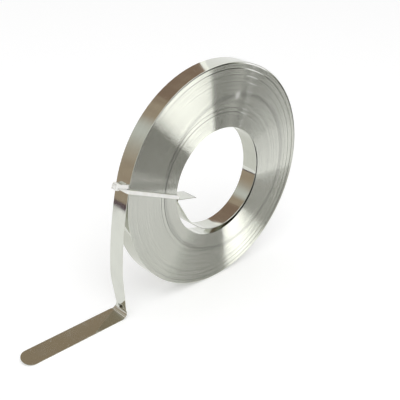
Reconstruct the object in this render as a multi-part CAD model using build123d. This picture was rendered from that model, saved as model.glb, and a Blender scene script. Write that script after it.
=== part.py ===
from build123d import *
import math
import os

# A coil of bright stainless steel strapping, standing on its rim.
# The coil's axis runs along Y, the tail leaves towards -X, the floor is Z = 0.
# Sizes are in millimetres and angles in degrees.

# The strip itself.
strap_width = 12.7
strap_thickness = 0.4

# The wound turns. The inner ones have sagged, so the bore sits below the coil's centre.
coil_radius = 79.5
bore_radius = 38.6
bore_shift = 0.7
bore_sag = 4.0

# Lines on both ends, where two turns stand apart, from the bore out to the rim.
turn_line_width = 0.5
turn_line_depth = 0.35
turn_line_shares = (0.1, 0.25, 0.3, 0.43, 0.58, 0.72, 0.82, 0.89, 0.95)

# The outer end: it springs off the coil under the tie, comes back at a knee, twists on its
# way down and is folded out along the floor, where it lies rolled on its front edge and swung
# a little to the front.
tail_leave_angle = 168.0
tail_radius = 286.0
knee_radius = 70.0
knee_angle = 8.5
shin_twist = 9.0
fold_radius = 4.0
fold_sections = 7
foot_length = 75.5
foot_roll = 15.0
foot_swing = 1.15

# The inner end: the first turn stands off the bore, and its end is hooked inwards.
loose_gap = 3.0
loose_shift = 1.4
loose_rise = 0.4
loose_end_angle = 10.0
merge_radius = 48.0
merge_angle = 40.0
hook_angle = 182.5
hook_gap = 0.3
hook_length = 18.0
hook_droop = 12.0
hook_bend_radius = 0.8

# The plastic cable tie round the wound turns.
tie_width = 2.5
tie_thickness = 1.0
tie_gap = 0.25
tie_corner_radius = 0.8
tie_rim_angle = 170.0
tie_bore_angle = 178.6
tie_head_width = 4.6
tie_head_length = 4.8
tie_head_height = 3.4
tie_head_edge = 0.5
tie_head_inset = 2.0
tie_tail_length = 10.8
tie_tail_angle = 18.0

# How far a cutting shape runs past the face that it cuts.
overrun = 1.0


def direction(angle: float) -> Vector:
    """Unit vector at an angle in a sketch, counted from +X."""
    return Vector(math.cos(math.radians(angle)), math.sin(math.radians(angle)))


bore_centre = Vector(bore_shift, -bore_sag)
loose_centre = bore_centre + Vector(loose_shift, loose_rise)
loose_radius = bore_radius - loose_gap
on_end = Plane.XZ


def wound_outline() -> Sketch:
    """Outline of the wound turns: two half turns that step in by half a strip."""
    quarter_step = strap_thickness / 8
    first_half = CenterArc((quarter_step, 0), coil_radius - quarter_step, 0, -180)
    second_half = CenterArc((-quarter_step, 0), coil_radius - 3 * quarter_step, 180, -180)
    step = Line(second_half @ 1, first_half @ 0)
    return Rot(0, 0, tail_leave_angle) * make_face([first_half, second_half, step])


def loose_turn() -> Sketch:
    """Section of the first turn, from its hooked end to where it joins the winding."""
    root = bore_centre + direction(hook_angle) * (bore_radius - hook_gap)
    tip = root + direction(-hook_droop) * hook_length
    to_root = root - loose_centre
    root_angle = math.degrees(math.atan2(to_root.Y, to_root.X)) % 360
    touch_angle = root_angle + math.degrees(math.acos(loose_radius / to_root.length))
    touch = loose_centre + direction(touch_angle) * loose_radius
    hook = FilletPolyline(tip, root, touch, radius=hook_bend_radius)
    sweep = 360 + loose_end_angle - touch_angle
    round_part = CenterArc(loose_centre, loose_radius, touch_angle, sweep)
    merging = JernArc(round_part @ 1, round_part % 1, merge_radius, merge_angle)
    return trace([hook, round_part, merging], line_width=strap_thickness)


def end_lines() -> Part:
    """Ring-shaped cutters for the lines between turns, on both ends of the coil."""
    cutters = []
    for share in turn_line_shares:
        radius = bore_radius + share * (coil_radius - bore_radius)
        centre = bore_centre * (1 - share)
        face = -strap_width / 2
        half = turn_line_width / 2 * (turn_line_depth + overrun) / turn_line_depth
        notch = make_face(Polyline(
            (radius - half, face - overrun),
            (radius + half, face - overrun),
            (radius, face + turn_line_depth),
            close=True,
        ))
        ring = Pos(centre.X, 0, centre.Y) * revolve(notch, axis=Axis.Y)
        cutters.append(ring)
        cutters.append(mirror(ring, about=Plane.XZ))
    return Part() + cutters


outline = wound_outline()
floor_height = outline.bounding_box().min.Y
foot_middle = floor_height + (
    strap_width / 2 * math.sin(math.radians(foot_roll))
    + strap_thickness / 2 * math.cos(math.radians(foot_roll))
)
fold_angle = 90 + knee_angle


def tail_path() -> list:
    """Middle line of the outer end, from the coil down to the start of its fold."""
    leave = direction(tail_leave_angle) * (coil_radius - strap_thickness / 2)
    along = direction(tail_leave_angle + 90)
    spring = JernArc(leave, along, tail_radius, 180 - tail_leave_angle)
    knee = JernArc(spring @ 1, spring % 1, knee_radius, knee_angle)
    lean = math.radians(knee_angle)
    fold_start = foot_middle + fold_radius * (1 + math.sin(lean))
    drop = (knee @ 1).Y - fold_start
    shin = Line(knee @ 1, knee @ 1 + (knee % 1) * (drop / math.cos(lean)))
    return [spring, knee, shin]


def across_strip(path: Edge, share: float, roll: float, swing: float = 0) -> Plane:
    """Plane across the strip at a share of its path, rolled about the path and swung to the front."""
    at = on_end.from_local_coords(path @ share)
    ahead = on_end.from_local_coords(path % share)
    across = Vector(0, 1, 0).rotate(Axis((0, 0, 0), ahead), roll)
    return Plane(at, x_dir=across.rotate(Axis.Z, swing), z_dir=ahead.rotate(Axis.Z, swing))


def folded_end(shin: Line) -> Part:
    """The twisted shin, the fold that rolls the strip over, and the flat round-ended foot."""
    strip = Rectangle(strap_width, strap_thickness)
    twisted = loft(
        [across_strip(shin, 0, 0) * strip, across_strip(shin, 1, shin_twist) * strip], ruled=True
    )
    bend = JernArc(shin @ 1, shin % 1, fold_radius, -fold_angle)
    sections = []
    for step in range(fold_sections):
        share = step / (fold_sections - 1)
        roll = shin_twist - (shin_twist + foot_roll) * share
        plane = across_strip(bend, share, roll, foot_swing * share)
        sections.append(plane * strip)
    flat_length = foot_length - strap_width / 2
    flat = Pos(flat_length / 2, 0) * Rectangle(flat_length, strap_width)
    flat += Pos(flat_length, 0) * Circle(strap_width / 2)
    foot_plane = Plane(plane.origin, x_dir=plane.z_dir, z_dir=plane.y_dir)
    foot = extrude(foot_plane * flat, amount=strap_thickness / 2, both=True)
    return twisted + loft(sections) + foot


def make_strap() -> Part:
    """The whole strip as one solid: wound turns, loose inner end, and outer end with its foot."""
    spring, knee, shin = tail_path()
    section = outline - Pos(bore_centre) * Circle(bore_radius)
    section += trace([spring, knee], line_width=strap_thickness)
    section += loose_turn()
    strip = extrude(on_end * section, amount=strap_width / 2, both=True)
    return strip - end_lines() + folded_end(shin)


def make_tie() -> Part:
    """The cable tie: a flat band round the turns, its head on the rim, and its cut-off end."""
    at_rim = direction(tie_rim_angle) * coil_radius
    at_bore = bore_centre + direction(tie_bore_angle) * bore_radius
    outward = (at_rim - at_bore).normalized()
    downward = Vector(-outward.Y, outward.X)
    level = at_rim.dot(downward)
    edges = (level - tie_head_width / 2, level + tie_head_width / 2)
    bore_level = bore_centre.dot(downward)
    far = max(math.sqrt(coil_radius**2 - edge**2) for edge in edges) + tie_gap
    near = bore_centre.dot(outward) - tie_gap + min(
        math.sqrt(bore_radius**2 - (edge - bore_level)**2) for edge in edges
    )
    reach = far - near
    depth = strap_width + 2 * tie_gap
    outer = RectangleRounded(
        reach + 2 * tie_thickness, depth + 2 * tie_thickness, tie_corner_radius + tie_thickness
    )
    loop = outer - RectangleRounded(reach, depth, tie_corner_radius)
    band = extrude(loop, amount=tie_width / 2, both=True)

    head_top = reach / 2 + tie_head_height
    head_back = depth / 2 + tie_thickness - tie_head_inset
    head = Box(
        tie_head_height, tie_head_length, tie_head_width,
        align=(Align.MAX, Align.MAX, Align.CENTER),
    )
    head = fillet(head.edges().group_by(Axis.X)[-1], tie_head_edge)
    head = Pos(head_top, head_back, 0) * head
    tail = Box(
        tie_thickness, tie_tail_length, tie_width,
        align=(Align.MIN, Align.MAX, Align.CENTER),
    )
    tail_base = reach / 2 + tie_thickness + tie_gap
    tail_root = head_back - tie_head_length / 2
    tail = Pos(tail_base, tail_root, 0) * Rot(tie_tail_angle, 0, 0) * tail

    middle = outward * ((far + near) / 2) + downward * level
    place = Plane(
        (middle.X, 0, middle.Y), x_dir=(outward.X, 0, outward.Y), z_dir=(downward.X, 0, downward.Y)
    )
    return place * (band + head + tail)


parts = {"strap_coil": make_strap(), "cable_tie": make_tie()}

# The origin is the bottom centre of the whole part.
box = (Part() + list(parts.values())).bounding_box()
to_origin = Pos(-box.center().X, -box.center().Y, -box.min.Z)

os.makedirs("parts", exist_ok=True)
for name, part in parts.items():
    export_step(to_origin * part, f"parts/{name}.step")
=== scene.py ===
"""Looks of a tied coil of bright stainless steel strapping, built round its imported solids.

Sizes are in metres and angles in degrees. The coil stands on its rim, with its axis along Y and
its front end towards -Y. Angles on its ends run from +X towards +Z.
"""

import logging
import math
import random
from collections.abc import Callable
from dataclasses import dataclass
from enum import Enum

import bmesh
import bpy
from mathutils import Matrix, Vector


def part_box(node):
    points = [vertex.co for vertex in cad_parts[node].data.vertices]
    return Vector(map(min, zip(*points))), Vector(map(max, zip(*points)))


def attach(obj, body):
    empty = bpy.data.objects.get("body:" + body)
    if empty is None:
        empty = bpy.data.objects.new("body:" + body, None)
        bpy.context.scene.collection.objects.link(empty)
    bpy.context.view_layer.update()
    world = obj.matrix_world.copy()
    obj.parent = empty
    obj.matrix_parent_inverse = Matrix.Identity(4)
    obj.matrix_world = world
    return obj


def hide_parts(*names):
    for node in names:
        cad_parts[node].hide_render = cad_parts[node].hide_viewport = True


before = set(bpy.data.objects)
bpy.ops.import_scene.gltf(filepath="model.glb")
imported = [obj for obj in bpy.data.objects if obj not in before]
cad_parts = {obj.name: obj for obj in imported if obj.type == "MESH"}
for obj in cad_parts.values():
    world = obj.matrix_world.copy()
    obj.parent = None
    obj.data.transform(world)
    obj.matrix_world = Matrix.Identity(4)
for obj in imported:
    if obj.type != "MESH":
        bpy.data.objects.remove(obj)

MM = 0.001
BODY = "root"
RING_SIZE = 8
Colour = tuple[float, float, float]
Triple = tuple[float, float, float]
log = logging.getLogger("strapping")


def on_end(angle: float) -> Vector:
    """Unit vector in the plane of the coil's end, at an angle from +X towards +Z."""
    turn = math.radians(angle)
    return Vector((math.cos(turn), 0, math.sin(turn)))


def angle_on_end(way: Vector) -> float:
    """Angle of a vector in the plane of the coil's end, from 0 to 360."""
    return math.degrees(math.atan2(way.z, way.x)) % 360


class Signal:
    """A number on its way through a material's nodes, which Python arithmetic adds nodes to."""

    def __init__(self, bench: "NodeBench", socket: bpy.types.NodeSocket) -> None:
        """Wraps an output socket of a node tree."""
        self.bench = bench
        self.socket = socket

    def _math(self, operation: str, first: "Signal | float", second: "Signal | float") -> "Signal":
        """Adds one Math node.

        Args:
            operation: the node's operation.
            first: its first value.
            second: its second value.

        Returns:
            The node's result.
        """
        node = self.bench.add("ShaderNodeMath", {"operation": operation}, {0: first, 1: second})
        return Signal(self.bench, node.outputs[0])

    def __add__(self, other: "Signal | float") -> "Signal":
        """Sum."""
        return self._math("ADD", self, other)

    def __radd__(self, other: float) -> "Signal":
        """Sum with a number on the left."""
        return self._math("ADD", other, self)

    def __sub__(self, other: "Signal | float") -> "Signal":
        """Difference."""
        return self._math("SUBTRACT", self, other)

    def __rsub__(self, other: float) -> "Signal":
        """Difference with a number on the left."""
        return self._math("SUBTRACT", other, self)

    def __mul__(self, other: "Signal | float") -> "Signal":
        """Product."""
        return self._math("MULTIPLY", self, other)

    def __rmul__(self, other: float) -> "Signal":
        """Product with a number on the left."""
        return self._math("MULTIPLY", other, self)

    def between(self, low: float, high: float) -> "Signal":
        """Smooth step that is 0 below the low value and 1 above the high one.

        Args:
            low: value at which the step starts.
            high: value at which the step ends.

        Returns:
            The step, from 0 to 1.
        """
        settings = {"interpolation_type": "SMOOTHSTEP"}
        sockets = {"Value": self, "From Min": low, "From Max": high}
        node = self.bench.add("ShaderNodeMapRange", settings, sockets)
        return Signal(self.bench, node.outputs["Result"])


class NodeBench:
    """A node tree that is emptied and built up by one method."""

    mix_first, mix_second = 6, 7
    mix_result = 2

    def __init__(self, owner: bpy.types.Material | bpy.types.World) -> None:
        """Takes a node tree and clears it.

        Args:
            owner: material or world that the tree belongs to.
        """
        owner.use_nodes = True
        self.tree = owner.node_tree
        self.tree.nodes.clear()

    def add(self, kind: str, settings: dict, sockets: dict) -> bpy.types.Node:
        """Adds a node.

        Args:
            kind: the node's type.
            settings: properties by name, set before the sockets.
            sockets: values, signals or output sockets, by the input's name or number.

        Returns:
            The new node.
        """
        node = self.tree.nodes.new(kind)
        for name, value in settings.items():
            setattr(node, name, value)
        for key, value in sockets.items():
            if isinstance(value, Signal):
                self.tree.links.new(value.socket, node.inputs[key])
            elif isinstance(value, bpy.types.NodeSocket):
                self.tree.links.new(value, node.inputs[key])
            else:
                node.inputs[key].default_value = value
        return node

    def attribute(self, name: str) -> Signal:
        """Reads a number that the piece's mesh carries under this name."""
        node = self.add("ShaderNodeAttribute", {"attribute_name": name}, {})
        return Signal(self, node.outputs["Fac"])

    def noise(self, vector: bpy.types.NodeSocket, scale: float, detail: float) -> Signal:
        """Smooth noise.

        Args:
            vector: where it is read.
            scale: how many patches there are to a metre.
            detail: how many finer layers it has.

        Returns:
            The noise, about 0 to 1.
        """
        sockets = {"Vector": vector, "Scale": scale, "Detail": detail}
        node = self.add("ShaderNodeTexNoise", {}, sockets)
        return Signal(self, node.outputs["Fac"])

    def vector(
        self, x: Signal, y: Signal | float, z: Signal | float = 0.0
    ) -> bpy.types.NodeSocket:
        """Joins three numbers into a vector."""
        node = self.add("ShaderNodeCombineXYZ", {}, {"X": x, "Y": y, "Z": z})
        return node.outputs["Vector"]

    def position(self) -> bpy.types.NodeSocket:
        """Place on the piece in its own coordinates."""
        return self.add("ShaderNodeTexCoord", {}, {}).outputs["Object"]

    def axes(self, vector: bpy.types.NodeSocket) -> tuple[Signal, Signal, Signal]:
        """Splits a vector into its three numbers."""
        node = self.add("ShaderNodeSeparateXYZ", {}, {"Vector": vector})
        return tuple(Signal(self, output) for output in node.outputs)

    def distance(self, vector: bpy.types.NodeSocket, centre: Triple | Vector) -> Signal:
        """Measures how far a place lies from a centre."""
        node = self.add("ShaderNodeVectorMath", {"operation": "DISTANCE"}, {0: vector, 1: centre})
        return Signal(self, node.outputs["Value"])

    def blend(
        self, factor: Signal, first: Colour | bpy.types.NodeSocket, second: Colour
    ) -> bpy.types.NodeSocket:
        """Mixes two colours.

        Args:
            factor: share of the second colour.
            first: colour at 0, or a socket that gives it.
            second: colour at 1.

        Returns:
            The mixed colour.
        """
        start = (*first, 1.0) if isinstance(first, tuple) else first
        sockets = {0: factor, self.mix_first: start, self.mix_second: (*second, 1.0)}
        return self.add("ShaderNodeMix", {"data_type": "RGBA"}, sockets).outputs[self.mix_result]

    def seen_directly(self) -> Signal:
        """Tells the rays that show a surface from those that only light others.

        Returns:
            1 on rays from the camera, from a mirror or through a clear thing, and 0 on others.
        """
        outputs = self.add("ShaderNodeLightPath", {}, {}).outputs
        seen = Signal(self, outputs["Is Camera Ray"]) + Signal(self, outputs["Is Glossy Ray"])
        return (seen + Signal(self, outputs["Is Transmission Ray"])).between(0.0, 1.0)

    def bump(self, height: Signal, distance: float) -> bpy.types.NodeSocket:
        """Turns a height into a normal.

        Args:
            height: relief from 0 to 1.
            distance: depth of the relief in metres.

        Returns:
            The normal.
        """
        sockets = {"Height": height, "Distance": distance, "Strength": 1.0}
        return self.add("ShaderNodeBump", {}, sockets).outputs["Normal"]

    def surface(self, shader: bpy.types.Node, kind: str = "ShaderNodeOutputMaterial") -> None:
        """Links a shader to the tree's output."""
        self.add(kind, {}, {"Surface": shader.outputs[0]})


@dataclass(frozen=True)
class Grain:
    """Noise in a finish: patches to a metre, finer layers, and the values between which it rises."""

    to_a_metre: float
    detail: float
    rises: tuple[float, float] = (0.0, 1.0)

    def raw(self, bench: NodeBench, place: bpy.types.NodeSocket) -> Signal:
        """The noise as it is, about 0 to 1."""
        return bench.noise(place, self.to_a_metre, self.detail)

    def stepped(self, bench: NodeBench, place: bpy.types.NodeSocket) -> Signal:
        """The noise as a smooth step from 0 to 1."""
        return self.raw(bench, place).between(*self.rises)


@dataclass(frozen=True)
class RolledFlat:
    """Bright cold-rolled face of the strip, with fine rolling lines and handling marks.

    From handled_from on, counted along the strip, the face is specked from handling.
    """

    handled_from: float
    name: str = "rolled_flat"
    bright: Colour = (0.65, 0.665, 0.605)
    dull: Colour = (0.58, 0.59, 0.54)
    lines: Grain = Grain(5000.0, 2.0, (0.3, 0.8))
    line_stretch: float = 0.004
    line_share: float = 0.6
    marks: Grain = Grain(90.0, 4.0, (0.4, 0.75))
    mark_share: float = 0.4
    specks: Grain = Grain(480.0, 2.0, (0.64, 0.78))
    handling_fade: float = 0.03
    waves: Grain = Grain(100 / 3, 1.0)
    wave_stretch: float = 0.5
    wave_depth: float = 0.05 * MM
    roughness: float = 0.045
    line_roughness: float = 0.04
    mark_roughness: float = 0.06
    speck_roughness: float = 0.2

    def material(self) -> bpy.types.Material:
        """Makes the finish.

        Returns:
            The new material.
        """
        made = bpy.data.materials.new(self.name)
        bench = NodeBench(made)
        along = bench.attribute("along")
        across = bench.attribute("across")
        lines = self.lines.raw(bench, bench.vector(along * self.line_stretch, across))
        worn = self.marks.stepped(bench, bench.position())
        specks = self.specks.stepped(bench, bench.position())
        wave = self.waves.raw(bench, bench.vector(along, across * self.wave_stretch))
        handled = along.between(self.handled_from, self.handled_from + self.handling_fade)
        dulled = self.line_share * lines.between(*self.lines.rises) + self.mark_share * worn
        rough = self.roughness + self.line_roughness * lines + self.mark_roughness * worn
        sockets = {
            "Base Color": bench.blend(dulled, self.bright, self.dull),
            "Metallic": 1.0,
            "Roughness": rough + self.speck_roughness * handled * specks,
            "Normal": bench.bump(wave, self.wave_depth),
        }
        bench.surface(bench.add("ShaderNodeBsdfPrincipled", {}, sockets))
        return made


@dataclass(frozen=True)
class SlitEdge:
    """Slit long edge of the strip, duller than the flat and uneven from turn to turn.

    Painted shade: a soft dark ring is painted into the colour of the coil's ends, off their centre; a pale
    spot on it is a painted highlight.
    From rubbed_from on, counted along the strip, the edge is rubbed to a satin.
    """

    rubbed_from: float
    shade_ring_centre: Vector
    # Painted shade ring: its radius, its width and how strongly it darkens the edge colour.
    shade_ring_radius: float = 55.6 * MM
    shade_ring_width: float = 2.6 * MM
    shade_ring_strength: float = 0.5
    # Painted highlight: a pale spot on the shade ring, at this angle on the ends and of this radius.
    highlight_angle: float = 82.0
    highlight_radius: float = 4.5 * MM
    name: str = "slit_edge"
    bright: Colour = (0.67, 0.68, 0.62)
    dull: Colour = (0.58, 0.59, 0.54)
    shade_colour: Colour = (0.40, 0.40, 0.37)
    # Colour of the painted highlight spot.
    highlight_colour: Colour = (0.95, 0.95, 0.92)
    streaks: Grain = Grain(10 / 3, 3.0, (0.35, 0.7))
    grain: Grain = Grain(900.0, 2.0)
    roughness: float = 0.09
    streak_roughness: float = 0.04
    grain_roughness: float = 0.04
    rubbed_roughness: float = 0.35

    def material(self) -> bpy.types.Material:
        """Makes the finish.

        Returns:
            The new material.
        """
        made = bpy.data.materials.new(self.name)
        bench = NodeBench(made)
        along = bench.attribute("along")
        streaks = self.streaks.stepped(bench, bench.vector(along, 0.0))
        grain = self.grain.raw(bench, bench.position())
        plain = bench.blend(streaks, self.bright, self.dull)
        x, _, z = bench.axes(bench.position())
        on_face = bench.vector(x, 0.0, z)
        # Painted shade: a soft dark ring, off the coil's centre, darkens the edge colour.
        off_shade_ring = bench.distance(on_face, self.shade_ring_centre) - self.shade_ring_radius
        ring = off_shade_ring.between(-self.shade_ring_width, 0.0) * (1 - off_shade_ring.between(0.0, self.shade_ring_width))
        shaded = bench.blend(self.shade_ring_strength * ring, plain, self.shade_colour)
        # Painted highlight: a pale spot on the ring lifts the edge colour towards white.
        highlight_centre = self.shade_ring_centre + on_end(self.highlight_angle) * self.shade_ring_radius
        highlight = 1 - bench.distance(on_face, highlight_centre).between(0.0, self.highlight_radius)
        rubbed = along.between(self.rubbed_from, self.rubbed_from + self.shade_ring_radius)
        rough = self.roughness + self.streak_roughness * streaks + self.grain_roughness * grain
        sockets = {
            "Base Color": bench.blend(highlight, shaded, self.highlight_colour),
            "Metallic": 1.0,
            "Roughness": rough + self.rubbed_roughness * rubbed,
        }
        bench.surface(bench.add("ShaderNodeBsdfPrincipled", {}, sockets))
        return made


@dataclass(frozen=True)
class WhiteNylon:
    """Milky moulded nylon of the cable tie."""

    name: str = "white_nylon_satin"
    pale: Colour = (0.90, 0.90, 0.87)
    warm: Colour = (0.84, 0.83, 0.78)
    cloud: Grain = Grain(300.0, 3.0, (0.35, 0.75))
    cloud_depth: float = 0.02 * MM
    roughness: float = 0.38
    cloud_roughness: float = 0.1
    glow: float = 0.15
    glow_radius: Triple = (0.4 * MM, 0.4 * MM, 0.35 * MM)

    def material(self) -> bpy.types.Material:
        """Makes the finish.

        Returns:
            The new material.
        """
        made = bpy.data.materials.new(self.name)
        bench = NodeBench(made)
        cloud = self.cloud.raw(bench, bench.position())
        sockets = {
            "Base Color": bench.blend(cloud.between(*self.cloud.rises), self.pale, self.warm),
            "Roughness": self.roughness + self.cloud_roughness * cloud,
            "Normal": bench.bump(cloud, self.cloud_depth),
            "Subsurface Weight": self.glow,
            "Subsurface Radius": self.glow_radius,
            "Subsurface Scale": 1.0,
        }
        bench.surface(bench.add("ShaderNodeBsdfPrincipled", {}, sockets))
        return made


@dataclass(frozen=True)
class Section:
    """Cross-section of a strip: a flat rectangle with its four corners broken."""

    width: float
    thickness: float
    corner: float

    def draw(self, bm: bmesh.types.BMesh, place: Matrix) -> list[bmesh.types.BMEdge]:
        """Draws the section as a closed ring of eight edges.

        Args:
            bm: mesh to draw in.
            place: frame of the ring, with X across the strip, Y out of its face and Z along it.

        Returns:
            The ring's edges.
        """
        layer = bm.verts.layers.float.get("across") or bm.verts.layers.float.new("across")
        half_step = Matrix.Rotation(math.pi / RING_SIZE, 4, "Z")
        ring = bmesh.ops.create_circle(bm, segments=RING_SIZE, radius=1.0, matrix=half_step)["verts"]
        for vert in ring:
            on_side = abs(vert.co.x) > abs(vert.co.y)
            half_width = self.width / 2 - (0.0 if on_side else self.corner)
            half_thickness = self.thickness / 2 - (self.corner if on_side else 0.0)
            vert.co.x = math.copysign(half_width, vert.co.x)
            vert.co.y = math.copysign(half_thickness, vert.co.y)
            vert[layer] = vert.co.x
        bmesh.ops.transform(bm, matrix=place, verts=ring)
        return list({edge for vert in ring for edge in vert.link_edges})


class StripPen:
    """Lays a strip down length by length, each one spun or extruded on from the last."""

    merge_distance = 0.001 * MM

    def __init__(self, section: Section, at: Vector, heading: Vector, face: Vector) -> None:
        """Starts a strip.

        Args:
            section: its cross-section.
            at: middle of its first end.
            heading: unit vector along it.
            face: unit vector out of its outer face.
        """
        self.section = section
        self.whole = bmesh.new()
        self.along = 0.0
        axes = Matrix((face.cross(heading), face, heading)).transposed()
        self.place = Matrix.Translation(at) @ axes.to_4x4()

    @property
    def at(self) -> Vector:
        """Middle of the strip's present end."""
        return self.place.translation.copy()

    @property
    def across(self) -> Vector:
        """Unit vector across the strip at its present end."""
        return self.place.col[0].xyz.normalized()

    @property
    def face(self) -> Vector:
        """Unit vector out of the strip's outer face at its present end."""
        return self.place.col[1].xyz.normalized()

    def _splice(self, length: bmesh.types.BMesh) -> None:
        """Joins a finished length to the strip and marks how far along each ring lies.

        Args:
            length: mesh of the length, ring after ring.
        """
        layer = length.verts.layers.float.new("along")
        verts = list(length.verts)
        last = None
        for start in range(0, len(verts), RING_SIZE):
            ring = verts[start:start + RING_SIZE]
            middle = sum((vert.co for vert in ring), Vector()) / RING_SIZE
            if last is not None:
                self.along += (middle - last).length
            last = middle
            for vert in ring:
                vert[layer] = self.along
        carrier = bpy.data.meshes.new("length")
        length.to_mesh(carrier)
        length.free()
        self.whole.from_mesh(carrier)
        bpy.data.meshes.remove(carrier)

    def bend(
        self, centre: Vector, axis: Vector, angle: float, steps: int, grow: float = 0.0, drift: float = 0.0
    ) -> None:
        """Leads the strip round an axis.

        Args:
            centre: point on the axis.
            axis: unit vector that the strip turns about.
            angle: how far it turns.
            steps: rings that it takes.
            grow: how far it moves away from the axis meanwhile.
            drift: how far it moves along the axis meanwhile.
        """
        length = bmesh.new()
        ring = self.section.draw(length, self.place)
        out = self.at - centre
        out -= axis * out.dot(axis)
        shift = out.normalized() * grow + axis * drift
        bmesh.ops.spin(
            length, geom=[*length.verts, *ring], cent=centre, axis=axis, dvec=shift / steps,
            angle=math.radians(angle), steps=steps,
        )
        turn = Matrix.Rotation(math.radians(angle), 4, axis)
        self.place = Matrix.Translation(centre) @ turn @ Matrix.Translation(shift - centre) @ self.place
        self._splice(length)

    def curl(self, radius: float, angle: float, steps: int) -> None:
        """Bends the strip towards its inner face.

        Args:
            radius: radius of the bend at the strip's middle.
            angle: how far it turns.
            steps: rings that it takes.
        """
        self.bend(self.at - self.face * radius, self.across, angle, steps)

    def lead(self, steps: int, onward: Callable[[Matrix, int], Matrix]) -> None:
        """Extrudes the strip ring by ring.

        Args:
            steps: rings that it takes.
            onward: gives the next ring's frame from the present one and the ring's number.
        """
        length = bmesh.new()
        ring = self.section.draw(length, self.place)
        for number in range(steps):
            target = onward(self.place, number)
            grown = bmesh.ops.extrude_edge_only(length, edges=ring)["geom"]
            verts = [item for item in grown if isinstance(item, bmesh.types.BMVert)]
            bmesh.ops.transform(length, matrix=target @ self.place.inverted(), verts=verts)
            fresh = set(verts)
            ring = [
                item for item in grown
                if isinstance(item, bmesh.types.BMEdge) and fresh.issuperset(item.verts)
            ]
            self.place = target
        self._splice(length)

    def straight(self, distance: float, steps: int = 1, twist: float = 0.0) -> None:
        """Leads the strip straight on.

        Args:
            distance: how far.
            steps: rings that it takes.
            twist: how far it turns about its own line meanwhile.
        """
        turn = Matrix.Rotation(math.radians(twist / steps), 4, "Z")
        move = Matrix.Translation((0, 0, distance / steps)) @ turn
        self.lead(steps, lambda place, number: place @ move)

    def finish(self, name: str) -> bpy.types.Object:
        """Closes the strip and makes its object, with flats in slot 0 and edges in slot 1.

        Args:
            name: the object's name.

        Returns:
            The new object, in the scene.
        """
        bm = self.whole
        bmesh.ops.remove_doubles(bm, verts=bm.verts, dist=self.merge_distance)
        bmesh.ops.holes_fill(bm, edges=[edge for edge in bm.edges if edge.is_boundary], sides=0)
        bmesh.ops.recalc_face_normals(bm, faces=bm.faces)
        layer = bm.verts.layers.float["across"]
        flat_border = self.section.width / 2 - self.section.corner / 2
        for face in bm.faces:
            places = [vert[layer] for vert in face.verts]
            face.smooth = True
            face.material_index = 0 if min(places) < 0 < max(places) and len(places) == 4 else 1
        for edge in bm.edges:
            first, second = (vert[layer] for vert in edge.verts)
            edge.smooth = abs(first - second) > self.merge_distance or abs(first) > flat_border
        return to_object(bm, name)


def to_object(bm: bmesh.types.BMesh, name: str) -> bpy.types.Object:
    """Puts a finished mesh in the scene.

    Args:
        bm: the mesh, which is freed.
        name: the object's name.

    Returns:
        The new object.
    """
    mesh = bpy.data.meshes.new(name)
    bm.to_mesh(mesh)
    bm.free()
    made = bpy.data.objects.new(name, mesh)
    bpy.context.scene.collection.objects.link(made)
    return made


class Side(Enum):
    """Where a line between two turns is widest: the half turn that opens it, and its direction."""

    RIGHT = (0, 20.0)
    LEFT = (1, 128.0)


@dataclass(frozen=True)
class TurnLine:
    """A line on the coil's ends, where a turn stands apart from the last one on one side.

    It lies at a share of the way out, opens to a gap, and its turn is set back by a recess.
    """

    share: float
    gap: float
    recess: float
    side: Side = Side.RIGHT


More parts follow.
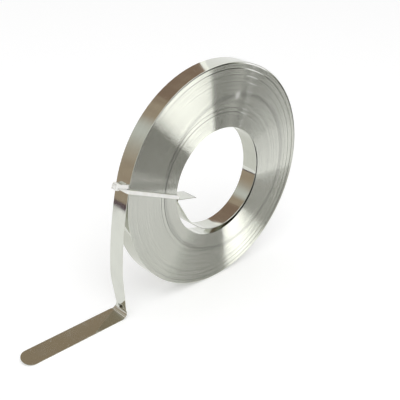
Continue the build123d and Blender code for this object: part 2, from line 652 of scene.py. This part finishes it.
@dataclass
class StrapCoil:
    """The strip: hooked loose first turn, wound turns, and the outer end with its fold and foot."""

    width: float = 12.7 * MM
    thickness: float = 0.4 * MM
    corner: float = 0.13 * MM
    coil_radius: float = 79.5 * MM
    right_reach: float = 79.401 * MM
    bore_radius: float = 38.6 * MM
    bore_shift: float = 0.7 * MM
    bore_sag: float = 4.0 * MM
    turns: int = 82
    half_turn_steps: int = 48
    lines: tuple[TurnLine, ...] = (
        TurnLine(0.10, 0.05 * MM, 0.05 * MM),
        TurnLine(0.25, 0.24 * MM, 0.15 * MM, Side.LEFT),
        TurnLine(0.30, 0.18 * MM, 0.12 * MM, Side.LEFT),
        TurnLine(0.43, 0.05 * MM, 0.05 * MM),
        TurnLine(0.58, 0.08 * MM, 0.10 * MM),
        TurnLine(0.72, 0.14 * MM, 0.20 * MM),
        TurnLine(0.82, 0.20 * MM, 0.30 * MM),
        TurnLine(0.92, 0.45 * MM, 0.50 * MM),
        TurnLine(0.99, 0.90 * MM, 0.60 * MM),
    )
    wander_tied: float = 0.01 * MM
    wander_free: float = 0.015 * MM
    wander_limit: float = 2.0
    wander_seed: int = 11
    tail_leave_angle: float = 168.0
    tail_radius: float = 286.0 * MM
    tail_steps: int = 16
    knee_radius: float = 70.0 * MM
    knee_angle: float = 8.5
    knee_steps: int = 8
    shin_twist: float = 9.0
    shin_steps: int = 10
    fold_radius: float = 4.0 * MM
    fold_steps: int = 16
    foot_length: float = 75.3 * MM
    foot_roll: float = 15.0
    foot_swing: float = 1.15
    foot_steps: int = 20
    tip_end_angle: float = 86.0
    tip_steps: int = 12
    loose_gap: float = 3.0 * MM
    loose_shift: float = 2.0 * MM
    loose_rise: float = 0.4 * MM
    loose_end_angle: float = 10.0
    ease_radius: float = 48.0 * MM
    settle_radius: float = 30.0 * MM
    joining_steps: int = 8
    settled_steps: int = 30
    hook_angle: float = 182.5
    hook_gap: float = 0.3 * MM
    hook_length: float = 18.0 * MM
    hook_droop: float = 12.0
    hook_steps: int = 4
    hook_bend_radius: float = 0.8 * MM
    hook_bend_steps: int = 12
    # How far the painted shade ring on the ends lies off the coil's centre.
    shade_ring_shift: float = 8.0 * MM

    def __post_init__(self) -> None:
        """Finds the centres of the coil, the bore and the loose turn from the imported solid."""
        low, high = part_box("strap_coil")
        growth = self.coil_radius - self.bore_radius - self.thickness
        opened = sum(self._opening(line)[1] for line in self.lines)
        self.plain_pitch = (growth - opened) / self.turns
        below_end = (self.tail_leave_angle + 90.0) / 360.0
        last_below = 2 * self.turns - 2
        sag_left = self.bore_sag * (1 - self._share_wound(last_below))
        stand = self.coil_radius - self.plain_pitch * below_end + sag_left
        self.floor = low.z
        self.centre = Vector((high.x - self.right_reach, 0, low.z + stand))
        self.bore_centre = self.centre + Vector((self.bore_shift, 0, -self.bore_sag))
        self.loose_centre = self.bore_centre + Vector((self.loose_shift, 0, self.loose_rise))

    def build(self) -> bpy.types.Object:
        """Lays the whole strip, from the hook to the tip of the foot.

        Returns:
            The strip's object.
        """
        pen = self._lay_loose_turn()
        self._wind(pen)
        self._lay_tail(pen)
        self._lay_foot(pen)
        log.info("strip laid, %.2f m long", pen.along)
        return pen.finish("wound_strap")

    def dress(self, piece: bpy.types.Object) -> None:
        """Gives the strip its finishes and sets it in the frame.

        Args:
            piece: the strip's object.
        """
        # Centre of the painted shade ring on the coil's ends.
        shade_ring_centre = self.centre + Vector((self.shade_ring_shift, 0, 0))
        piece.data.materials.append(RolledFlat(self.outer_turn_from).material())
        piece.data.materials.append(SlitEdge(self.outer_turn_from, shade_ring_centre).material())
        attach(piece, BODY)
        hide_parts("strap_coil")

    def _lay_loose_turn(self) -> StripPen:
        """Lays the hooked end and the first turn, which stands off the bore.

        Returns:
            The pen, where the first turn has joined the winding at the tail's angle.
        """
        loose_radius = self.bore_radius - self.loose_gap
        wound_radius = self.bore_radius + self.thickness / 2
        root = self.bore_centre + on_end(self.hook_angle) * (self.bore_radius - self.hook_gap)
        inward = on_end(-self.hook_droop)
        to_root = root - self.loose_centre
        opening = math.degrees(math.acos(loose_radius / to_root.length))
        touch_angle = angle_on_end(to_root) + opening
        touch = self.loose_centre + on_end(touch_angle) * loose_radius
        hook_turn = touch_angle + 90 - (180 - self.hook_droop)
        setback = self.hook_bend_radius * math.tan(math.radians(hook_turn / 2))
        section = Section(self.width, self.thickness, self.corner)
        tip = root + inward * self.hook_length
        pen = StripPen(section, tip, -inward, on_end(90 - self.hook_droop))
        pen.straight(self.hook_length - setback, self.hook_steps)
        pen.curl(self.hook_bend_radius, hook_turn, self.hook_bend_steps)
        pen.straight((touch - root).length - setback, self.hook_steps)
        pen.curl(loose_radius, 360 + self.loose_end_angle - touch_angle, self.half_turn_steps)
        ease, settle = self._joining_turns(loose_radius, wound_radius)
        pen.curl(self.ease_radius, ease, self.joining_steps)
        pen.curl(self.settle_radius, settle, self.joining_steps)
        joined = self.loose_end_angle + ease + settle
        pen.bend(self.bore_centre, pen.across, self.tail_leave_angle - joined, self.settled_steps)
        return pen

    def _joining_turns(self, loose_radius: float, wound_radius: float) -> tuple[float, float]:
        """Works out the two arcs that lead the loose turn onto the winding without a kink.

        Args:
            loose_radius: radius of the loose turn at the strip's middle.
            wound_radius: radius of the innermost wound turn at the strip's middle.

        Returns:
            Angle of the wide easing arc, and of the tighter arc that settles on the winding.
        """
        ease_step = self.ease_radius - self.settle_radius
        settle_step = wound_radius - self.settle_radius
        start = on_end(self.loose_end_angle) * (self.ease_radius - loose_radius)
        span = start - (self.loose_centre - self.bore_centre)
        cosine = (ease_step**2 + span.length_squared - settle_step**2) / (2 * ease_step * span.length)
        ease_end = angle_on_end(span) + math.degrees(math.acos(cosine))
        settle_end = angle_on_end(on_end(ease_end) * ease_step - span)
        return ease_end - self.loose_end_angle, settle_end - ease_end

    def _share_wound(self, half: int) -> float:
        """Share of the winding that is laid at the middle of a half turn."""
        return (half + 0.5) / (2 * self.turns)

    def _opening(self, line: TurnLine) -> tuple[Vector, float]:
        """Works out how the turns outside a line are moved, so that it opens on its side alone.

        Args:
            line: the line.

        Returns:
            How far their centre shifts, and how much larger their radius gets.
        """
        first_half, direction = line.side.value
        start = on_end(self.tail_leave_angle + 180.0 * first_half)
        way = on_end(direction)
        shift = way * (line.gap / (1 - way.dot(start)))
        return shift, -shift.dot(start)

    def _wind(self, pen: StripPen) -> None:
        """Winds the turns on, half a turn at a time, as the centre climbs out of its sag.

        It notes how far along the strip the outermost turn starts.

        Args:
            pen: the pen, at the start of the winding.
        """
        chance = random.Random(self.wander_seed)
        line_turns = {round(line.share * self.turns): line for line in self.lines}
        axis = pen.across
        halves = 2 * self.turns
        offset = 0.0
        opened = Vector()
        last_centre = self.centre - sum((self._opening(line)[0] for line in self.lines), Vector())
        for half in range(halves):
            if half == halves - 2:
                self.outer_turn_from = pen.along
            wander = self.wander_free if half % 2 == 0 else self.wander_tied
            stray = max(-self.wander_limit, min(self.wander_limit, chance.gauss(0.0, 1.0)))
            target = stray * wander
            line = line_turns.get(half // 2)
            if line and half % 2 == line.side.value[0]:
                target -= line.recess
                opened += self._opening(line)[0]
            if half == halves - 1:
                target = 0.0
            centre = self.bore_centre.lerp(last_centre, self._share_wound(half)) + opened
            pen.bend(centre, axis, 180.0, self.half_turn_steps, self.plain_pitch / 2, target - offset)
            offset = target

    def _lay_tail(self, pen: StripPen) -> None:
        """Lays the end that springs off the coil, comes back at the knee and twists down.

        Args:
            pen: the pen, where the strip leaves the coil.
        """
        pen.curl(self.tail_radius, 180 - self.tail_leave_angle, self.tail_steps)
        pen.curl(self.knee_radius, self.knee_angle, self.knee_steps)
        roll = math.radians(self.foot_roll)
        half_height = (self.width * math.sin(roll) + self.thickness * math.cos(roll)) / 2
        lean = math.radians(self.knee_angle)
        fold_start = self.floor + half_height + self.fold_radius * (1 + math.sin(lean))
        pen.straight((pen.at.z - fold_start) / math.cos(lean), self.shin_steps, self.shin_twist)

    def _lay_foot(self, pen: StripPen) -> None:
        """Lays the fold, which rolls the strip over, and the flat foot with its round tip.

        Args:
            pen: the pen, at the end of the shin.
        """
        start = pen.place.copy()
        centre = pen.at + on_end(180 + self.knee_angle) * self.fold_radius
        to_centre = Matrix.Translation(centre)

        def fold(place: Matrix, number: int) -> Matrix:
            """Works out the next frame round the fold.

            Args:
                place: present frame, not used: the fold is worked out from its start.
                number: the step's number, from 0.

            Returns:
                The next frame.
            """
            share = math.radians((number + 1) / self.fold_steps)
            turn = Matrix.Rotation((90 + self.knee_angle) * share, 4, (0, 1, 0))
            roll = Matrix.Rotation(-(self.shin_twist + self.foot_roll) * share, 4, "Z")
            swing = Matrix.Rotation(self.foot_swing * share, 4, "Z")
            folded = to_centre @ turn @ to_centre.inverted() @ start @ roll
            at = Matrix.Translation(folded.translation)
            return at @ swing @ at.inverted() @ folded

        pen.lead(self.fold_steps, fold)
        radius = self.width / 2
        pen.straight(self.foot_length - radius, self.foot_steps)
        tip_step = self.tip_end_angle / self.tip_steps
        tip_angles = [math.radians(tip_step * number) for number in range(self.tip_steps + 1)]

        def narrow(place: Matrix, number: int) -> Matrix:
            """Works out the next, narrower frame along the round tip.

            Args:
                place: present frame.
                number: the step's number, from 0.

            Returns:
                The next frame.
            """
            here, there = tip_angles[number], tip_angles[number + 1]
            move = Matrix.Translation((0, 0, radius * (math.sin(there) - math.sin(here))))
            return place @ move @ Matrix.Scale(math.cos(there) / math.cos(here), 4, (1, 0, 0))

        pen.lead(self.tip_steps, narrow)


@dataclass
class CableTie:
    """White cable tie round the turns: band, head on the rim and cut-off end."""

    coil: StrapCoil
    width: float = 2.5 * MM
    thickness: float = 1.0 * MM
    gap: float = 0.25 * MM
    corner_radius: float = 0.8 * MM
    corner_steps: int = 8
    run_steps: int = 6
    corner: float = 0.25 * MM
    rim_angle: float = 170.0
    bore_angle: float = 178.6
    head_width: float = 4.6 * MM
    head_length: float = 4.8 * MM
    head_height: float = 3.4 * MM
    head_edge: float = 0.5 * MM
    head_edge_segments: int = 3
    head_inset: float = 2.0 * MM
    slot_margin: float = 1.0 * MM
    slot_depth: float = 0.8 * MM
    tail_length: float = 10.8 * MM
    tail_angle: float = 18.0
    tail_rise_share: float = 1.5
    teeth: int = 14
    tooth_depth_share: float = 0.12

    def __post_init__(self) -> None:
        """Finds the tie's own frame: X out to the rim, Y along the coil's axis, Z down the rim."""
        coil = self.coil
        at_rim = coil.centre + on_end(self.rim_angle) * coil.coil_radius
        at_bore = coil.bore_centre + on_end(self.bore_angle) * coil.bore_radius
        outward = (at_rim - at_bore).normalized()
        downward = on_end(angle_on_end(outward) + 90)
        level = (at_rim - coil.centre).dot(downward)
        edges = (level - self.head_width / 2, level + self.head_width / 2)
        to_bore = coil.bore_centre - coil.centre
        bore_level = to_bore.dot(downward)
        far = max(math.sqrt(coil.coil_radius**2 - edge**2) for edge in edges) + self.gap
        near = to_bore.dot(outward) - self.gap + min(
            math.sqrt(coil.bore_radius**2 - (edge - bore_level) ** 2) for edge in edges
        )
        self.reach = far - near
        self.depth = coil.width + 2 * self.gap
        middle = coil.centre + outward * ((far + near) / 2) + downward * level
        axes = Matrix((outward, downward.cross(outward), downward)).transposed()
        self.place = Matrix.Translation(middle) @ axes.to_4x4()

    def build(self) -> bpy.types.Object:
        """Makes the band, the head and the cut end as one moulded piece.

        Returns:
            The tie's object.
        """
        bm = bmesh.new()
        for part in (self._band(), self._tail()):
            bm.from_mesh(part.data)
            bpy.data.objects.remove(part)
        self._add_head(bm)
        for face in bm.faces:
            face.material_index = 0
            face.smooth = True
        return to_object(bm, "nylon_tie")

    def dress(self, piece: bpy.types.Object) -> None:
        """Gives the tie its finish and sets it in the frame.

        Args:
            piece: the tie's object.
        """
        piece.data.materials.append(WhiteNylon().material())
        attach(piece, BODY)
        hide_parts("cable_tie")

    def _local(self, x: float, y: float, z: float) -> Vector:
        """Point given in the tie's own frame."""
        return self.place @ Vector((x, y, z))

    def _band(self) -> bpy.types.Object:
        """Leads the band once round the turns.

        Returns:
            The band's object.
        """
        section = Section(self.width, self.thickness, self.corner)
        bend_radius = self.corner_radius + self.thickness / 2
        long_run = self.reach + self.thickness - 2 * bend_radius
        short_run = self.depth + self.thickness - 2 * bend_radius
        start = self._local(-long_run / 2, -(self.depth + self.thickness) / 2, 0)
        pen = StripPen(section, start, self.place.col[0].xyz, -self.place.col[1].xyz)
        for run in (long_run, short_run, long_run, short_run):
            pen.straight(run, self.run_steps)
            pen.curl(bend_radius, 90.0, self.corner_steps)
        return pen.finish("band")

    def _tail(self) -> bpy.types.Object:
        """Makes the toothed end that stands out of the head.

        Returns:
            The end's object.
        """
        section = Section(self.width, self.thickness, self.corner)
        lift = math.radians(self.tail_angle)
        root_y = self.depth / 2 + self.thickness - self.head_inset - self.head_length / 2
        root_x = self.reach / 2 + self.gap + self.tail_rise_share * self.thickness
        along = self.place.to_3x3() @ Vector((0, -math.cos(lift), -math.sin(lift)))
        pen = StripPen(section, self._local(root_x, root_y, 0), along, self.place.col[0].xyz)
        pitch = self.tail_length / self.teeth
        squeeze = 1 - self.tooth_depth_share

        def tooth(place: Matrix, number: int) -> Matrix:
            """Next frame along the teeth, thick and thin by turns."""
            factor = squeeze if number % 2 == 0 else 1 / squeeze
            return place @ Matrix.Translation((0, 0, pitch / 2)) @ Matrix.Scale(factor, 4, (0, 1, 0))

        pen.lead(2 * self.teeth, tooth)
        return pen.finish("tail")

    def _add_head(self, bm: bmesh.types.BMesh) -> None:
        """Adds the head, a rounded block with a slot in its top.

        Args:
            bm: mesh that it is added to.
        """
        size = Matrix.Diagonal((self.head_height, self.head_length, self.head_width, 1.0))
        back = self.depth / 2 + self.thickness - self.head_inset
        middle = Matrix.Translation((
            self.reach / 2 + self.head_height / 2, back - self.head_length / 2, 0
        ))
        verts = bmesh.ops.create_cube(bm, size=1.0, matrix=middle @ size)["verts"]
        faces = {face for vert in verts for face in vert.link_faces}
        top = max(faces, key=lambda face: face.calc_center_median().x)
        bmesh.ops.inset_individual(bm, faces=[top], thickness=self.slot_margin)
        sunk = bmesh.ops.extrude_discrete_faces(bm, faces=[top])["faces"]
        inner = list({vert for face in sunk for vert in face.verts})
        bmesh.ops.translate(bm, vec=(-self.slot_depth, 0, 0), verts=inner)
        head = self._connected(verts)
        edges = {edge for vert in verts for edge in vert.link_edges if edge.other_vert(vert) in verts}
        bmesh.ops.transform(bm, matrix=self.place, verts=head)
        bmesh.ops.bevel(
            bm, geom=list(edges), offset=self.head_edge, affect="EDGES", segments=self.head_edge_segments,
            profile=0.5, material=-1,
        )

    @staticmethod
    def _connected(verts: list[bmesh.types.BMVert]) -> list[bmesh.types.BMVert]:
        """Finds all vertices that edges join to the given ones.

        Args:
            verts: where the search starts.

        Returns:
            The vertices found, with the given ones.
        """
        found = set(verts)
        waiting = list(verts)
        while waiting:
            vert = waiting.pop()
            fresh = {edge.other_vert(vert) for edge in vert.link_edges} - found
            found |= fresh
            waiting.extend(fresh)
        return list(found)


class Tone(Enum):
    """What a plain reflecting card shows to the metal: its colour, and its strength, where 1 is white."""

    SOFT_BOX = ((1.0, 1.0, 0.98), 2.4)
    BRIGHT_STRIP = ((1.0, 1.0, 0.97), 1.3)
    PALE_GREY = ((0.82, 0.82, 0.79), 1.0)
    BROWN_GREY = ((0.335, 0.262, 0.185), 1.0)
    DARK_PLUM = ((0.12, 0.08, 0.10), 1.0)
    WARM_DARK = ((0.23, 0.224, 0.198), 1.0)
    DARK_GREY = ((0.17, 0.166, 0.147), 1.0)

    def material(self) -> bpy.types.Material:
        """Makes the card's surface.

        Returns:
            The new material.
        """
        colour, strength = self.value
        made = bpy.data.materials.new(f"card_{self.name.lower()}")
        bench = NodeBench(made)
        sockets = {"Color": (*colour, 1.0), "Strength": strength}
        bench.surface(bench.add("ShaderNodeEmission", {}, sockets))
        return made


@dataclass(frozen=True)
class MottledWall:
    """Brown wall behind the coil, lighter to the left, with a pale patch and soft blotches."""

    name: str = "card_mottled_wall"
    umber: Colour = (0.29, 0.205, 0.155)
    fawn: Colour = (0.45, 0.365, 0.28)
    pale: Colour = (0.68, 0.69, 0.66)
    umber_from: float = 0.0
    fawn_from: float = -0.2
    patch_centre: Triple = (-0.235, 0.29, 0.33)
    patch_radius: float = 0.25
    blotches: Grain = Grain(25.0, 3.0, (0.3, 0.7))
    blotch_middle: float = 0.5
    blotch_share: float = 0.5

    def material(self) -> bpy.types.Material:
        """Makes the wall's surface.

        Returns:
            The new material.
        """
        made = bpy.data.materials.new(self.name)
        bench = NodeBench(made)
        place = bench.position()
        x, _, _ = bench.axes(place)
        blotches = self.blotches.stepped(bench, place) - self.blotch_middle
        to_left = 1 - x.between(self.fawn_from, self.umber_from)
        brown = bench.blend(to_left + self.blotch_share * blotches, self.umber, self.fawn)
        patch = 1 - bench.distance(place, self.patch_centre).between(0.0, self.patch_radius)
        sockets = {"Color": bench.blend(patch, brown, self.pale), "Strength": 1.0}
        bench.surface(bench.add("ShaderNodeEmission", {}, sockets))
        return made


@dataclass(frozen=True)
class Card:
    """A flat four-sided reflecting card, which only mirror reflections show."""

    name: str
    finish: Tone | MottledWall
    corner: Triple
    along: Triple
    rise: Triple

    def build(self) -> bpy.types.Object:
        """Draws the card's first edge and extrudes it along its rise.

        Returns:
            The card's object.
        """
        bm = bmesh.new()
        first = bm.verts.new(self.corner)
        second = bm.verts.new(Vector(self.corner) + Vector(self.along))
        foot = bm.edges.new((first, second))
        risen = bmesh.ops.extrude_edge_only(bm, edges=[foot])["geom"]
        verts = [item for item in risen if isinstance(item, bmesh.types.BMVert)]
        bmesh.ops.translate(bm, vec=self.rise, verts=verts)
        made = to_object(bm, self.name)
        made.data.materials.append(self.finish.material())
        made.visible_camera = False
        made.visible_diffuse = False
        made.visible_shadow = False
        return made


@dataclass(frozen=True)
class Studio:
    """White floor and world, a soft lamp, reflecting cards and the camera."""

    floor_size: float = 8.0
    floor_drop: float = 0.02 * MM
    floor_colour: Colour = (0.92, 0.92, 0.92)
    floor_lift: float = 0.2
    world_fill: float = 0.74
    lamp_size: float = 1.2
    lamp_power: float = 7.5
    lamp_place: Triple = (-0.5, -0.6, 1.5)
    camera_place: Triple = (-0.35122, -0.38701, 0.34036)
    camera_azimuth: float = -44.558
    camera_elevation: float = 27.117
    camera_roll: float = 1.801
    focal_pixels: float = 891.794
    photo_pixels: float = 400.0
    sensor: float = 36.0
    clip_start: float = 0.01

    def build(self) -> None:
        """Sets up everything round the object."""
        self._floor()
        self._world()
        self._lamp()
        self._camera()
        for card in self._cards():
            log.info("card %s", card.build().name)
        bpy.context.scene.view_settings.view_transform = "Standard"

    def _cards(self) -> list[Card]:
        """The cards that the metal mirrors.

        Returns:
            Cards behind, above and in front of the coil.
        """
        wall = MottledWall()
        return [
            Card("wall_back", wall, (-0.24, 0.5, 0.0), (0.54, 0, 0), (0, 0, 0.9)),
            Card("wall_left", wall, (-0.235, 0.165, 0.0135), (0, 0.7, 0), (0, 0, 0.95)),
            Card("wall_corner", wall, (-0.235, -0.05, 0.08), (0, 0.215, 0), (0, 0, 0.255)),
            Card("wall_base", Tone.DARK_PLUM, (-0.235, 0.165, 0.0), (0, 0.7, 0), (0, 0, 0.0135)),
            Card("wall_right", wall, (0.03, 0.15, 0.16), (0.164, 0, 0), (-0.105, 0, 0.25)),
            Card("wall_edge", Tone.BRIGHT_STRIP, (0.194, 0.151, 0.16), (0.012, 0, 0), (-0.105, 0, 0.25)),
            Card("wall_above", Tone.BROWN_GREY, (0.0, 0.149, 0.37), (0.32, 0, 0), (0, 0, 0.245)),
            Card("front_box", Tone.SOFT_BOX, (-0.7, -0.82, 0.0), (1.7, 0, 0), (0, 0, 1.4)),
            Card("front_left", Tone.WARM_DARK, (-0.55, -0.8, 0.0), (1.07, 0, 0), (-1.36, 0, 1.0)),
            Card("front_floor", Tone.WARM_DARK, (-0.55, -0.8, 0.001), (0.88, 0, 0), (-0.1, 0.53, 0)),
            Card("front_right", Tone.DARK_GREY, (0.15, -0.208, 0.0), (0.62, 0.245, 0), (0.051, 0.02, 0.35)),
            Card("right_haze", Tone.PALE_GREY, (0.19, -0.189, 0.28), (0.43, 0.17, 0), (0.026, 0.01, 0.17)),
            Card("right_gleam", Tone.BRIGHT_STRIP, (0.293, -0.145, 0.2), (0.088, 0.035, 0), (0, 0, 0.14)),
            # Painted shadow: a pale grey card on the floor behind the coil, which the metal mirrors as
            # shade there.
            Card("floor_shadow_card", Tone.PALE_GREY, (-0.043, 0.025, 0.0006), (0.25, 0, 0), (-0.09, 0.135, 0)),
        ]

    def _floor(self) -> None:
        """Lays the floor."""
        bm = bmesh.new()
        bmesh.ops.create_grid(bm, x_segments=1, y_segments=1, size=self.floor_size / 2)
        bmesh.ops.translate(bm, vec=(0, 0, -self.floor_drop), verts=bm.verts)
        floor = to_object(bm, "floor")
        material = bpy.data.materials.new("floor_white")
        bench = NodeBench(material)
        lit = bench.add("ShaderNodeBsdfDiffuse", {}, {"Color": (*self.floor_colour, 1.0)})
        sockets = {"Strength": bench.seen_directly() * self.floor_lift}
        lift = bench.add("ShaderNodeEmission", {}, sockets)
        bench.surface(bench.add("ShaderNodeAddShader", {}, {0: lit.outputs[0], 1: lift.outputs[0]}))
        floor.data.materials.append(material)

    def _world(self) -> None:
        """Makes the world white to the camera and to mirror rays, and a soft fill to the rest."""
        world = bpy.data.worlds.new("studio")
        bpy.context.scene.world = world
        bench = NodeBench(world)
        white = (1.0, 1.0, 1.0, 1.0)
        fill = bench.add("ShaderNodeBackground", {}, {"Color": white, "Strength": self.world_fill})
        shown = bench.add("ShaderNodeBackground", {}, {"Color": white, "Strength": 1.0})
        sockets = {0: bench.seen_directly(), 1: fill.outputs[0], 2: shown.outputs[0]}
        bench.surface(bench.add("ShaderNodeMixShader", {}, sockets), "ShaderNodeOutputWorld")

    def _lamp(self) -> None:
        """Hangs the soft lamp over the front."""
        data = bpy.data.lights.new("soft_lamp", "AREA")
        data.energy = self.lamp_power
        data.size = self.lamp_size
        lamp = bpy.data.objects.new("soft_lamp", data)
        lamp.location = self.lamp_place
        lamp.rotation_euler = Vector(self.lamp_place).to_track_quat("Z", "Y").to_euler()
        lamp.visible_glossy = False
        bpy.context.scene.collection.objects.link(lamp)

    def _camera(self) -> None:
        """Sets the camera at the photograph's place, turn and angle of view."""
        azimuth = math.radians(self.camera_azimuth)
        elevation = math.radians(self.camera_elevation)
        back = Vector((
            math.sin(azimuth) * math.cos(elevation),
            -math.cos(azimuth) * math.cos(elevation),
            math.sin(elevation),
        ))
        right = Vector((0, 0, 1)).cross(back).normalized()
        up = back.cross(right)
        axes = Matrix((right, up, back)).transposed().to_4x4()
        roll = Matrix.Rotation(math.radians(self.camera_roll), 4, "Z")
        data = bpy.data.cameras.new("view")
        data.sensor_width = self.sensor
        data.lens = self.focal_pixels / self.photo_pixels * self.sensor
        data.clip_start = self.clip_start
        camera = bpy.data.objects.new("view", data)
        camera.matrix_world = Matrix.Translation(self.camera_place) @ axes @ roll
        bpy.context.scene.collection.objects.link(camera)
        bpy.context.scene.camera = camera


def main() -> None:
    """Builds the coil, its tie and the studio, and reports each piece."""
    logging.basicConfig(level=logging.INFO, format="%(name)s: %(message)s")
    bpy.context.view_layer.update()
    coil = StrapCoil()
    for maker in (coil, CableTie(coil)):
        piece = maker.build()
        maker.dress(piece)
        piece.data.calc_loop_triangles()
        log.info("%s has %d triangles", piece.name, len(piece.data.loop_triangles))
    Studio().build()


if __name__ == "__main__":
    main()
